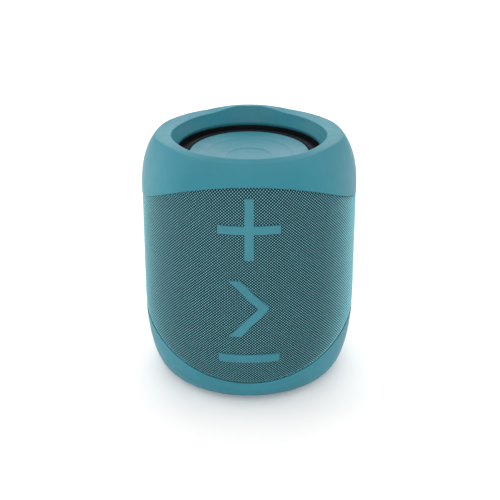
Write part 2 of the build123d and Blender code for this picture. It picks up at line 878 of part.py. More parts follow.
with BuildPart() as usb_socket:
    with BuildSketch(Plane.XZ.offset(-rear_face_y)):
        with Locations((usb_x, socket_z)):
            RectangleRounded(usb_width, usb_height, usb_height / 2 - 0.1)
    extrude(amount=-socket_depth)
    with BuildSketch(Plane.XZ.offset(-rear_face_y - 0.8)):
        with Locations((usb_x, socket_z)):
            RectangleRounded(usb_width - 0.7, usb_height - 0.7, usb_height / 2 - 0.5)
            Rectangle(6.6, 0.7, mode=Mode.SUBTRACT)
    extrude(amount=-socket_depth, mode=Mode.SUBTRACT)
keep(usb_socket.part, "usb_socket")

with BuildPart() as aux_socket:
    add(across(rear_face_y, [(aux_x, socket_z)], aux_radius, socket_depth))
    add(across(rear_face_y + 0.8, [(aux_x, socket_z)], 1.75, socket_depth), mode=Mode.SUBTRACT)
keep(aux_socket.part, "aux_socket")

# ---------------------------------------------------------------- rear panel
panel_step_z = flap_top_z + 2.0
flap_back_inset = panel_inset + flap_thickness
foot_x = panel_width / 2 - 2.2
flap_drop = sagitta(base_bulge - panel_inset, belly_low - flap_axis_z)
flap_swing = body_radius - panel_inset - flap_drop - flap_axis_y  # its lower edge's reach
with BuildSketch(mode=Mode.PRIVATE) as flap_shape:
    with Locations((0, flap_axis_z)):
        Rectangle(2 * flap_half_width, flap_top_z - flap_axis_z, align=(Align.CENTER, Align.MIN))
with BuildSketch(mode=Mode.PRIVATE) as pocket_shape:
    with Locations((0, flap_axis_z)):
        Rectangle(
            2 * (flap_half_width + flap_gap),
            flap_top_z - flap_axis_z + flap_gap,
            align=(Align.CENTER, Align.MIN),
        )


def bar_x(radius, half_length):
    """A round bar along the flap's hinge axis."""
    bar = Cylinder(radius, 2 * half_length, mode=Mode.PRIVATE)
    return Pos(0, flap_axis_y, flap_axis_z) * Rot(0, 90, 0) * bar


with BuildPart() as rear_panel:
    add(prism_y(panel_shape.sketch, end_flat, body_radius + 3))
    add(envelope(panel_inset), mode=Mode.INTERSECT)
    with BuildSketch(Plane.XY.offset(panel_step_z)):
        Circle(body_radius - 3.4)
    extrude(amount=body_height - panel_step_z, mode=Mode.SUBTRACT)
    with BuildSketch():
        Circle(body_radius - 6.4)
    extrude(amount=panel_step_z, mode=Mode.SUBTRACT)
    pocket = prism_y(pocket_shape.sketch, end_flat, body_radius + 3)
    add(pocket - envelope(flap_back_inset + flap_gap), mode=Mode.SUBTRACT)
    add(bar_x(flap_barrel + flap_gap, flap_half_width + flap_gap), mode=Mode.SUBTRACT)
    with Locations((0, flap_axis_y - 0.2 * flap_swing - 2 * flap_gap, flap_axis_z)):
        Box(
            2 * (flap_half_width + flap_gap),
            8.0,
            flap_swing + 3 * flap_gap,
            align=(Align.CENTER, Align.MIN, Align.MAX),
            mode=Mode.SUBTRACT,
        )
    add(bar_x(flap_pin + 0.05, flap_half_width + flap_pin_length + flap_gap), mode=Mode.SUBTRACT)
    with BuildSketch(Plane.XZ.offset(-end_flat)):
        with Locations((usb_x, socket_z)):
            RectangleRounded(usb_width + 0.4, usb_height + 0.4, usb_height / 2)
        with Locations((aux_x, socket_z)):
            Circle(aux_radius + 0.2)
        with Locations(*rear_keys):
            Circle(rear_button_radius + 0.3)
        with Locations((0, light_z)):
            Circle(1.2)
    extrude(amount=-body_radius, mode=Mode.SUBTRACT)
    low_feet = [(side * foot_x, panel_low_z + 4.0) for side in (-1, 1)]
    high_feet = [(side * foot_x, panel_high_z - 3.5) for side in (-1, 1)]
    add(across(end_flat, low_feet, 1.5, 3.0))
    add(across(end_flat, high_feet, 1.5, 5.4))
keep(rear_panel.part, "rear_panel")

with BuildPart() as light_pipe:
    add(across(rear_face_y + 0.7, [(0, light_z)], 1.2, 12))
    add(envelope(panel_inset), mode=Mode.INTERSECT)
keep(light_pipe.part, "light_pipe")

with BuildPart() as port_flap:
    add(prism_y(flap_shape.sketch, end_flat, body_radius + 3))
    add(envelope(panel_inset), mode=Mode.INTERSECT)
    add(envelope(flap_back_inset), mode=Mode.SUBTRACT)
    add(bar_x(flap_barrel, flap_half_width))
    add(bar_x(flap_pin, flap_half_width + flap_pin_length))
keep(port_flap.part, "port_flap")

rear_flange_y = rear_face_y + rear_switch_height + rear_travel + 0.4
for (x, z), name in zip(rear_keys, ("power_button", "pairing_button")):
    with BuildPart() as rear_key:
        add(across(rear_flange_y, [(x, z)], rear_button_radius, 12))
        add(envelope(0), mode=Mode.INTERSECT)
        add(across(rear_flange_y, [(x, z)], rear_button_radius + 0.9, 1.0))
    keep(rear_key.part, name)

# ---------------------------------------------------------------- leads
driver_lead_y = (terminal_y + plug_y) / 2
for side, name in ((-1, "left_driver_lead"), (1, "right_driver_lead")):
    lead(
        [
            (side * terminal_x, terminal_y, driver_z),
            (side * terminal_x, driver_lead_y, driver_z),
            (side * driver_plug_x, driver_lead_y, driver_z),
            (side * driver_plug_x, plug_y, driver_z),
        ],
        lead_radius,
        name,
    )
battery_plug_z = main_board_z + battery_plug_row * board_row
lead(
    [
        (0, 0, cell_top_z + 1.0),
        (0, 0, cell_top_z + 6.0),
        (0, plug_y - 3.0, cell_top_z + 6.0),
        (0, plug_y - 3.0, battery_plug_z),
        (0, plug_y, battery_plug_z),
    ],
    lead_radius,
    "battery_lead",
)
front_turn_y = -end_flat + 14.0
lead(
    [
        (front_lead_x, -end_flat, front_lead_z),
        (front_lead_x, front_turn_y, front_lead_z),
        (front_plug_x, front_turn_y, front_lead_z),
        (front_plug_x, plug_y, front_lead_z),
    ],
    lead_radius,
    "front_lead",
)
with BuildPart() as rear_lead:
    add(across(board_back_y, [(0, rear_lead_z)], lead_radius + 0.3, end_flat - board_back_y))
keep(rear_lead.part, "rear_lead")
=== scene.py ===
"""Looks of a round upright portable speaker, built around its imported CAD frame.

A knit sleeve covers the body between a soft cap and a soft base, both cut on a
saddle line. Three raised keys stand in the knit, a dished radiator sits in the
recess of the cap, and a small panel at the back carries the keys and the flap.
"""
import json
import logging
import math
from dataclasses import dataclass, field
from enum import Enum
from typing import Callable, Iterable, Sequence

import bmesh
import bpy
import numpy as np
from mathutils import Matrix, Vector


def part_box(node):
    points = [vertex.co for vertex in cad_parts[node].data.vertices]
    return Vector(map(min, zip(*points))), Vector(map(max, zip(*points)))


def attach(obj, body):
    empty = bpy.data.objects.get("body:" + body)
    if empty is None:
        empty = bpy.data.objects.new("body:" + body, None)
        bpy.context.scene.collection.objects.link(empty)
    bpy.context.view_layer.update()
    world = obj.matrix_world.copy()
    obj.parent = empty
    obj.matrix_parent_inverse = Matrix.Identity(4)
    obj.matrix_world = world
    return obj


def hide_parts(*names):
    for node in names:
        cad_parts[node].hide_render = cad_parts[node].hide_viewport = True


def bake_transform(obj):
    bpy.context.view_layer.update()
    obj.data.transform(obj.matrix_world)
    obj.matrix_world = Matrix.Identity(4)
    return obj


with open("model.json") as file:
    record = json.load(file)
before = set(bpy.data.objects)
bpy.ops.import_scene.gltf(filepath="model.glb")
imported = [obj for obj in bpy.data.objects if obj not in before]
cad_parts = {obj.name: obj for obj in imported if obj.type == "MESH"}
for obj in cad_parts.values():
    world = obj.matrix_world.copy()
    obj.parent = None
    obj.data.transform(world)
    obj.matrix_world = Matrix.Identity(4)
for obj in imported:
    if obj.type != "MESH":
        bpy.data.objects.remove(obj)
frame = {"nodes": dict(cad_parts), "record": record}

LOG = logging.getLogger("speaker")
MM = 0.001

Colour = tuple[float, float, float]
Profile = Callable[[np.ndarray, np.ndarray], tuple[np.ndarray, np.ndarray]]
RingPoints = list[tuple[np.ndarray, np.ndarray]]
Stations = Callable[[np.ndarray], RingPoints]
Section = list[tuple[float, float]]
Span = tuple[float, float]


class Body(Enum):
    """The moving bodies that pieces ride on."""

    SHELL = "body"
    RADIATOR = "radiator"
    PLUS = "plus_key"
    PLAY = "play_key"
    MINUS = "minus_key"


class Slot(Enum):
    """Material slots of the record that new pieces take their finish from."""

    SHELL = "soft_shell"
    KEY = "button_plastic"
    KNIT = "knit"
    DISC = "disc_plastic"
    RUBBER = "black_rubber"
    SCREW = "screw_steel"


# ---------------------------------------------------------------- node graphs


class Graph:
    """A material's node tree, with the few calls that the finishes share."""

    def __init__(self, name: str) -> None:
        """Starts a material that holds one Principled shader.

        Args:
            name: The material's name.
        """
        self.material = bpy.data.materials.new(name)
        self.material.use_nodes = True
        self.tree = self.material.node_tree
        self.shader = self.tree.nodes["Principled BSDF"]

    def add(self, kind: str, **inputs: object) -> bpy.types.Node:
        """Adds a node and fills or links its inputs.

        Args:
            kind: The node's type name, without the leading ShaderNode.
            **inputs: Socket names with spaces as underscores, each a value or a socket.

        Returns:
            The new node.
        """
        node = self.tree.nodes.new(f"ShaderNode{kind}")
        for key, value in inputs.items():
            self.set(node.inputs[key.replace("_", " ")], value)
        return node

    def set(self, socket: bpy.types.NodeSocket, value: object) -> None:
        """Links an output to a socket, or writes a value into it.

        Args:
            socket: The input to fill.
            value: An output socket, a number, or a sequence of numbers.
        """
        if isinstance(value, bpy.types.NodeSocket):
            self.tree.links.new(value, socket)
        else:
            socket.default_value = value

    def math(self, operation: str, first: object, second: object = 0.0) -> bpy.types.NodeSocket:
        """Adds a Math node.

        Args:
            operation: The node's operation, such as MULTIPLY.
            first: The first value or socket.
            second: The second value or socket.

        Returns:
            The node's output.
        """
        node = self.add("Math")
        node.operation = operation
        self.set(node.inputs[0], first)
        self.set(node.inputs[1], second)
        return node.outputs[0]

    def mix(self, share: object, first: object, second: object) -> bpy.types.NodeSocket:
        """Mixes two colours.

        Args:
            share: How much of the second colour shows.
            first: A colour or socket.
            second: A colour or socket.

        Returns:
            The mixed colour.
        """
        node = self.add("Mix")
        node.data_type = "RGBA"
        self.set(node.inputs[0], share)
        self.set(node.inputs[6], first if isinstance(first, bpy.types.NodeSocket) else (*first, 1.0))
        self.set(node.inputs[7], second if isinstance(second, bpy.types.NodeSocket) else (*second, 1.0))
        return node.outputs[2]

    def noise(self, scale: float, detail: float = 2.0) -> bpy.types.NodeSocket:
        """Noise over the piece's own space.

        Args:
            scale: Noise cells per metre.
            detail: Octaves.

        Returns:
            The noise value, about 0.5 in the mean.
        """
        place = self.add("TexCoord").outputs["Object"]
        return self.add("TexNoise", Vector=place, Scale=scale, Detail=detail).outputs[0]

    def spread(self, value: bpy.types.NodeSocket, low: float, high: float) -> bpy.types.NodeSocket:
        """Maps noise from 0.3-0.7 to low-high.

        Args:
            value: The noise.
            low: The result at 0.3.
            high: The result at 0.7.

        Returns:
            The mapped value.
        """
        node = self.add("MapRange", Value=value, From_Min=0.3, From_Max=0.7, To_Min=low, To_Max=high)
        return node.outputs[0]

    def bump(self, height: bpy.types.NodeSocket, depth: float) -> None:
        """Raises the surface by a height pattern.

        Args:
            height: The pattern, from 0 to 1.
            depth: Metres between 0 and 1.
        """
        node = self.add("Bump", Height=height, Strength=1.0, Distance=depth)
        self.set(self.shader.inputs["Normal"], node.outputs[0])

    def surface(self, **inputs: object) -> None:
        """Fills the Principled shader's inputs.

        Args:
            **inputs: Socket names with spaces as underscores.
        """
        for key, value in inputs.items():
            plain = isinstance(value, tuple) and len(value) == 3
            self.set(self.shader.inputs[key.replace("_", " ")], (*value, 1.0) if plain else value)


@dataclass(frozen=True)
class Finish:
    """A named material in one colour; each kind below paints it in its own way."""

    name: str
    colour: Colour

    def paint(self, graph: Graph) -> None:
        """Fills the shader. Each kind of finish has its own.

        Args:
            graph: The material's node tree.
        """
        raise NotImplementedError

    def build(self) -> bpy.types.Material:
        """Makes the material.

        Returns:
            The material.
        """
        graph = Graph(self.name)
        self.paint(graph)
        return graph.material


@dataclass(frozen=True)
class SoftTouch(Finish):
    """Matt silicone with a fine moulded grain and slight wear in its colour."""

    roughness: float = 0.5
    specular: float = 0.28
    sheen: float = 0.05
    grain: float = 2600.0
    grain_depth: float = 0.00002
    drift: float = 0.06

    def paint(self, graph: Graph) -> None:
        """Fills the shader."""
        wide = graph.spread(graph.noise(38.0, 3.0), 0.0, 1.0)
        darker = tuple(channel * (1.0 - self.drift) for channel in self.colour)
        lighter = tuple(min(1.0, channel * (1.0 + self.drift)) for channel in self.colour)
        rough = graph.spread(graph.noise(240.0, 3.0), self.roughness - 0.05, self.roughness + 0.05)
        graph.surface(
            Base_Color=graph.mix(wide, darker, lighter),
            Roughness=rough,
            Specular_IOR_Level=self.specular,
            Sheen_Weight=self.sheen,
            Sheen_Roughness=0.4,
            Sheen_Tint=(0.4, 0.9, 1.0),
        )
        graph.bump(graph.noise(self.grain, 2.0), self.grain_depth)


@dataclass(frozen=True)
class KnitCloth(Finish):
    """Knit: stitch heads in its colour over pits in dark yarn with painted shade, set out on the
    cloth's UV.
    """

    pit_yarn_and_shade: Colour
    sheen: float = 1.05

    def paint(self, graph: Graph) -> None:
        """Fills the shader. One UV unit is half a stitch cell each way."""
        place = graph.add("UVMap")
        place.uv_map = KnitSleeve.uv_name
        axes = graph.add("SeparateXYZ", Vector=place.outputs[0])
        waves = [graph.math("COSINE", graph.math("MULTIPLY", axes.outputs[i], math.pi)) for i in (0, 1)]
        stitch = graph.math("MULTIPLY", *waves)
        cover = graph.add("MapRange", Value=stitch, From_Min=-0.12, From_Max=1.0)
        cover.interpolation_type = "SMOOTHSTEP"
        speck = graph.spread(graph.noise(1500.0, 1.0), 0.72, 1.12)
        heads = graph.mix(speck, tuple(0.55 * channel for channel in self.colour), self.colour)
        # The pits' colour is dark yarn made darker still as painted shade of the recesses between
        # stitch heads.
        cell = graph.mix(cover.outputs[0], self.pit_yarn_and_shade, heads)
        fibre = graph.noise(9000.0, 2.0)
        graph.surface(
            Base_Color=cell,
            Roughness=0.85,
            Specular_IOR_Level=0.25,
            Sheen_Weight=self.sheen,
            Sheen_Roughness=0.35,
            Sheen_Tint=(0.4, 0.9, 1.0),
        )
        graph.bump(graph.math("ADD", cover.outputs[0], graph.math("MULTIPLY", fibre, 0.3)), 0.00008)


@dataclass(frozen=True)
class Moulded(Finish):
    """Moulded plastic, rubber, paper or lacquer with a fine grain."""

    roughness: float = 0.5
    grain: float = 1800.0
    grain_depth: float = 0.00001
    specular: float = 0.5
    coat: float = 0.0

    def paint(self, graph: Graph) -> None:
        """Fills the shader."""
        tone = graph.spread(graph.noise(120.0, 3.0), 0.0, 1.0)
        darker = tuple(0.85 * channel for channel in self.colour)
        rough = graph.spread(graph.noise(400.0, 3.0), self.roughness - 0.06, self.roughness + 0.06)
        graph.surface(
            Base_Color=graph.mix(tone, darker, self.colour),
            Roughness=rough,
            Specular_IOR_Level=self.specular,
            Coat_Weight=self.coat,
        )
        graph.bump(graph.noise(self.grain, 2.0), self.grain_depth)


@dataclass(frozen=True)
class PlatedMetal(Finish):
    """Plated or drawn metal with light machining streaks."""

    roughness: float = 0.32

    def paint(self, graph: Graph) -> None:
        """Fills the shader."""
        streaks = graph.noise(900.0, 4.0)
        rough = graph.spread(streaks, self.roughness - 0.08, self.roughness + 0.1)
        tone = graph.mix(streaks, tuple(0.8 * channel for channel in self.colour), self.colour)
        graph.surface(Base_Color=tone, Metallic=1.0, Roughness=rough)
        graph.bump(streaks, 0.000004)


@dataclass(frozen=True)
class FrostedLens(Finish):
    """Frosted clear plastic for the status light."""

    def paint(self, graph: Graph) -> None:
        """Fills the shader."""
        rough = graph.spread(graph.noise(800.0, 2.0), 0.3, 0.45)
        graph.surface(Base_Color=self.colour, Roughness=rough, Transmission_Weight=0.4, IOR=1.49)


# ---------------------------------------------------------------- bench tools


class Bench:
    """Modelling steps shared by every sub-assembly."""

    @staticmethod
    def clear() -> None:
        """Leaves edit mode and deselects everything."""
        if bpy.context.object and bpy.context.object.mode != "OBJECT":
            bpy.ops.object.mode_set(mode="OBJECT")
        bpy.ops.object.select_all(action="DESELECT")

    @staticmethod
    def take(piece: bpy.types.Object) -> None:
        """Makes one object the only selected and active one.

        Args:
            piece: The object.
        """
        Bench.clear()
        piece.select_set(True)
        bpy.context.view_layer.objects.active = piece

    @staticmethod
    def wrapped(name: str, columns: int, rows: int, place: Profile) -> bpy.types.Object:
        """Wraps a grid round the body's axis and welds its two ends at the back.

        Args:
            name: The piece's name.
            columns: Faces round the axis.
            rows: Faces along the section.
            place: Gives radius and height from the angle off the front and the row number.

        Returns:
            The welded mesh object.
        """
        Bench.clear()
        bpy.ops.mesh.primitive_grid_add(x_subdivisions=columns, y_subdivisions=rows, size=2.0)
        piece = bpy.context.object
        piece.name = name
        flat = np.empty(len(piece.data.vertices) * 3)
        piece.data.vertices.foreach_get("co", flat)
        flat = flat.reshape(-1, 3)
        angle = flat[:, 0] * math.pi
        row = np.rint((flat[:, 1] + 1.0) / 2.0 * rows)
        radius, height = place(angle, row)
        turned = np.stack([radius * np.sin(angle), -radius * np.cos(angle), height], axis=1)
        piece.data.vertices.foreach_set("co", turned.ravel())
        Bench.weld(piece)
        return piece

    @staticmethod
    def ringed(name: str, columns: int, stations: Stations) -> bpy.types.Object:
        """Wraps a section whose points vary round the axis.

        Args:
            name: The piece's name.
            columns: Faces round the axis.
            stations: Gives the section's radii and heights from the angles off the front.

        Returns:
            The welded mesh object.
        """

        def place(angle: np.ndarray, row: np.ndarray) -> tuple[np.ndarray, np.ndarray]:
            """Puts each grid vertex on its station."""
            spots = np.array(stations(angle))
            picked = spots[row.astype(int), :, np.arange(len(angle))]
            return picked[:, 0], picked[:, 1]

        return Bench.wrapped(name, columns, len(stations(np.zeros(1))) - 1, place)

    @staticmethod
    def weld(piece: bpy.types.Object, reach: float = 0.00001) -> None:
        """Merges coinciding vertices and turns the faces outwards.

        Args:
            piece: The mesh object.
            reach: The merge distance in metres.
        """
        Bench.take(piece)
        bpy.ops.object.mode_set(mode="EDIT")
        bpy.ops.mesh.select_all(action="SELECT")
        bpy.ops.mesh.remove_doubles(threshold=reach)
        bpy.ops.mesh.normals_make_consistent(inside=False)
        bpy.ops.object.mode_set(mode="OBJECT")

    @staticmethod
    def modify(piece: bpy.types.Object, kind: str, **settings: object) -> None:
        """Adds a modifier and applies it.

        Args:
            piece: The mesh object.
            kind: The modifier's type.
            **settings: The modifier's settings.
        """
        Bench.take(piece)
        modifier = piece.modifiers.new(kind.title(), kind)
        for key, value in settings.items():
            setattr(modifier, key, value)
        bpy.ops.object.modifier_apply(modifier=modifier.name)

    @staticmethod
    def cut(piece: bpy.types.Object, tool: bpy.types.Object, scaled: bool = False) -> None:
        """Cuts a solid out of a piece and removes the solid.

        Args:
            piece: The mesh object.
            tool: The solid, selected and active.
            scaled: True if the solid was placed with a scale.
        """
        bpy.ops.object.transform_apply(location=True, rotation=False, scale=scaled)
        Bench.modify(piece, "BOOLEAN", operation="DIFFERENCE", object=tool, solver="EXACT")
        bpy.data.objects.remove(tool, do_unlink=True)

    @staticmethod
    def drop_faces(piece: bpy.types.Object, test: Callable[[Vector], bool]) -> None:
        """Deletes the faces whose centre passes a test.

        Args:
            piece: The mesh object.
            test: Takes a face's centre and says whether the face goes.
        """
        Bench.take(piece)
        bpy.ops.object.mode_set(mode="EDIT")
        bpy.ops.mesh.select_all(action="DESELECT")
        bpy.ops.mesh.select_mode(type="FACE")
        work = bmesh.from_edit_mesh(piece.data)
        for face in work.faces:
            face.select = test(face.calc_center_median())
        bmesh.update_edit_mesh(piece.data)
        bpy.ops.mesh.delete(type="FACE")
        bpy.ops.object.mode_set(mode="OBJECT")

    @staticmethod
    def smooth(piece: bpy.types.Object, degrees: float = 35.0) -> None:
        """Shades a piece smooth, with edges sharper than an angle kept crisp.

        Args:
            piece: The mesh object.
            degrees: The angle.
        """
        Bench.take(piece)
        bpy.ops.object.shade_smooth_by_angle(angle=math.radians(degrees))

    @staticmethod
    def dress(
        piece: bpy.types.Object, finish: bpy.types.Material, slot: Slot, body: Body | None
    ) -> None:
        """Gives a new piece its finish and its body.

        Args:
            piece: The new piece.
            finish: Its material.
            slot: Not used.
            body: The body it rides on, or None for a piece left on no body.
        """
        piece.data.materials.clear()
        piece.data.materials.append(finish)
        if body is not None:
            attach(piece, body.value)


def ramp(value: np.ndarray, low: float, high: float) -> np.ndarray:
    """Smooth step from 0 at low to 1 at high.

    Args:
        value: The input.
        low: Where the step starts.
        high: Where the step ends.

    Returns:
        The step's value.
    """
    share = np.clip((value - low) / (high - low), 0.0, 1.0)
    return share * share * (3.0 - 2.0 * share)


# ---------------------------------------------------------------- body form


@dataclass
class BodyForm:
    """The body's outline and the two saddle seams, measured off the CAD boxes.

    The spans are in degrees off the front, or off the back for bump_fade.
    """

    radius: float = field(init=False)
    top: float = field(init=False)
    cap_side: float = field(init=False)
    base_side: float = field(init=False)
    belly_low: float = 39.6 * MM
    shoulder_height: float = 25.6 * MM
    foot_radius: float = 38.1 * MM
    belly: float = 2.1
    foot_z: float = 1.0 * MM
    cap_end_drop: float = 3.4 * MM
    base_end: float = 6.4 * MM
    crest_radius: float = 37.6 * MM
    horn: float = 4.2 * MM
    back_fall: float = 2.1 * MM
    bump_rise: float = 2.0 * MM
    front_lift: float = 0.5 * MM
    rear_lift: float = 1.1 * MM
    crease_drop: float = 0.35 * MM
    front_lean: float = 0.95 * MM
    bump_fade: Span = (7.0, 31.0)
    fall_rise: Span = (58.0, 125.0)
    lift_fade: Span = (12.0, 52.0)
    lean_fade: Span = (25.0, 85.0)
    rear_rise: Span = (92.0, 118.0)
    rear_fade: Span = (152.0, 172.0)
    horn_front: float = 11.0
    horn_back: float = 2.4
    cap_slope: float = 0.75
    base_slope: float = -0.62
    seam_beyond: float = 4.0 * MM
    lip: float = 0.45 * MM
    wall: float = 2.0 * MM
    skin_rows: int = 26
    seam_reach: float = field(init=False)

    def __post_init__(self) -> None:
        """Reads the driving sizes from the frame."""
        low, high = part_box("top_cap")
        self.radius = high[0]
        self.top = high[2]
        self.cap_side = low[2]
        self.base_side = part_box("base_cap")[1][2]
        self.seam_reach = self.radius + self.seam_beyond

    def crease(self, angle: np.ndarray) -> np.ndarray:
        """Radius of the rim's outer crease, which runs out to a horn at each side.

        Args:
            angle: Angles off the front.

        Returns:
            Radii in metres.
        """
        across = np.abs(np.sin(angle))
        power = np.where(np.cos(angle) > 0, self.horn_front, self.horn_back)
        return self.crest_radius + self.horn * across**power

    def edge(self, angle: np.ndarray) -> np.ndarray:
        """Height of the recess's edge, with a bump at the back and a rise in front.

        Args:
            angle: Angles off the front.

        Returns:
            Heights in metres.
        """
        off_front = np.degrees(np.abs(angle))
        bump = 1.0 - ramp(180.0 - off_front, *self.bump_fade)
        fall = ramp(off_front, *self.fall_rise)
        middle = 1.0 - ramp(off_front, *self.lift_fade)
        return self.top - self.back_fall * fall + self.bump_rise * bump + self.front_lift * middle

    def crest(self, angle: np.ndarray) -> np.ndarray:
        """Height of the rim's outer crease, which lies below the recess's edge.

        Args:
            angle: Angles off the front.

        Returns:
            Heights in metres.
        """
        off_front = np.degrees(np.abs(angle))
        front = 1.0 - ramp(off_front, *self.lean_fade)
        rear = ramp(off_front, *self.rear_rise) * (1.0 - ramp(off_front, *self.rear_fade))
        lean = self.rear_lift * rear - self.front_lean * front
        return self.edge(angle) - self.crease_drop + lean

    def outline(self, angle: np.ndarray, height: np.ndarray) -> np.ndarray:
        """Radius of the outer surface.

        Args:
            angle: Angles off the front.
            height: Heights in metres.

        Returns:
            Radii in metres.
        """
        start = self.top - self.shoulder_height
        span = self.crest(angle) - start
        up = np.clip((height - start) / span, 0.0, 1.0)
        facing = np.cos(angle) ** 2
        crease = self.crease(angle)
        rounding = (1.0 - up ** (2.6 + 0.9 * facing)) ** (0.88 + 0.12 * facing)
        shoulder = crease + (self.radius - crease) * rounding
        down = np.clip((self.belly_low - height) / (self.belly_low - self.foot_z), 0.0, 1.0)
        inset = (self.radius - self.foot_radius) * (1.0 - (1.0 - down**self.belly) ** (1 / self.belly))
        return shoulder - inset

    def skin(self, angle: np.ndarray, seam: np.ndarray, end: np.ndarray) -> RingPoints:
        """A shell's points from behind its seam lip out and along the outline.

        Args:
            angle: Angles off the front.
            seam: Height of the seam.
            end: Height where the outline is left, above or below the seam.

        Returns:
            Radius and height for each station in turn.
        """
        way = np.sign(end - seam)
        edge = self.outline(angle, seam)
        points = [
            (edge - self.wall, seam + way * 0.1 * MM),
            (edge - self.lip - 0.5 * MM, seam),
            (edge - self.lip, seam + way * 0.03 * MM),
            (edge - 0.3 * self.lip, seam + way * 0.15 * self.lip),
            (edge - 0.05 * self.lip, seam + way * 0.45 * self.lip),
        ]
        start = seam + way * self.lip
        for share in np.linspace(0.0, 1.0, self.skin_rows):
            height = start + (end - start) * math.sin(share * math.pi / 2)
            points.append((self.outline(angle, height), height))
        return points

    def saddle(self, side: float, end: float, slope: float, angle: np.ndarray) -> np.ndarray:
        """Height of a saddle seam round the body.

        Args:
            side: Its height at the sides.
            end: Its height where it leaves the body's reach in front.
            slope: Its slope there.
            angle: Angles off the front.

        Returns:
            Heights in metres.
        """
        height = np.full_like(angle, side)
        for _ in range(6):
            share = np.abs(self.outline(angle, height) * np.cos(angle)) / self.seam_reach
            rise = share * share * (3.0 - 2.0 * share)
            lean = share * share * (share - 1.0) * slope * self.seam_reach
            height = side + (end - side) * rise + lean
        return height

    def cap_seam(self, angle: np.ndarray) -> np.ndarray:
        """Height of the seam under the cap."""
        return self.saddle(self.cap_side, self.top - self.cap_end_drop, self.cap_slope, angle)

    def base_seam(self, angle: np.ndarray) -> np.ndarray:
        """Height of the seam over the base."""
        return self.saddle(self.base_side, self.base_end, self.base_slope, angle)


# ---------------------------------------------------------------- cap and base


@dataclass
class TopCap:
    """The soft cap: shoulder, rim with its two horns and back bump, and recess wall."""

    form: BodyForm
    finish: bpy.types.Material
    columns: int = 288
    mouth: float = 34.3 * MM
    recess_radius: float = 32.0 * MM
    recess_wall: float = 1.9 * MM
    foot_lip: float = 1.5 * MM
    edge_round: float = 0.5 * MM
    foot_z: float = field(init=False)

    def __post_init__(self) -> None:
        """Places the recess's foot below the cap's top."""
        self.foot_z = self.form.top - 8.9 * MM

    def stations(self, angle: np.ndarray) -> RingPoints:
        """The closed section at each angle, from inside the seam lip over the rim and back.

        Args:
            angle: Angles off the front.

        Returns:
            Radius and height for each station in turn.
        """
        form = self.form
        seam = form.cap_seam(angle)
        crest = form.crest(angle)
        crease = form.crease(angle)
        edge = form.outline(angle, seam)
        points = [(edge - form.wall, seam + 1.5 * MM), *form.skin(angle, seam, crest - 0.1 * MM)]
        brink = form.edge(angle)
        mouth = np.full_like(angle, self.mouth)
        inner = np.full_like(angle, self.recess_radius)
        for share in (0.07, 0.25, 0.5, 0.75, 1.0):
            radius = crease + (mouth + self.edge_round - crease) * share
            points.append((radius, crest + (brink - crest) * share))
        for turn in np.linspace(0.2, 1.0, 5):
            swing = turn * math.pi / 2
            radius = mouth + self.edge_round * (1.0 - math.sin(swing))
            points.append((radius, brink - self.edge_round * (1.0 - math.cos(swing))))
        foot = np.full_like(angle, self.foot_z)
        knee = foot + self.foot_lip
        top = brink - self.edge_round
        for share in (0.3, 0.6, 0.92):
            points.append((mouth + (inner - mouth) * share, top + (knee - top) * share))
        points += [
            (inner + 0.05 * MM, knee + 0.15 * MM),
            (inner, knee - 0.1 * MM),
            (inner + 0.15 * MM, foot + 0.4 * MM),
            (inner + 0.5 * MM, foot),
            (mouth + self.recess_wall, foot),
            (mouth + self.recess_wall, foot + 2.0 * MM),
            (edge - form.wall - 1.0 * MM, np.maximum(seam + 3.0 * MM, foot - 2.0 * MM)),
            points[0],
        ]
        return points

    def build(self) -> bpy.types.Object:
        """Builds and dresses the cap.

        Returns:
            The cap.
        """
        piece = Bench.ringed("cap_skin", self.columns, self.stations)
        Bench.smooth(piece, 50.0)
        Bench.dress(piece, self.finish, Slot.SHELL, Body.SHELL)
        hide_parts("top_cap")
        return piece


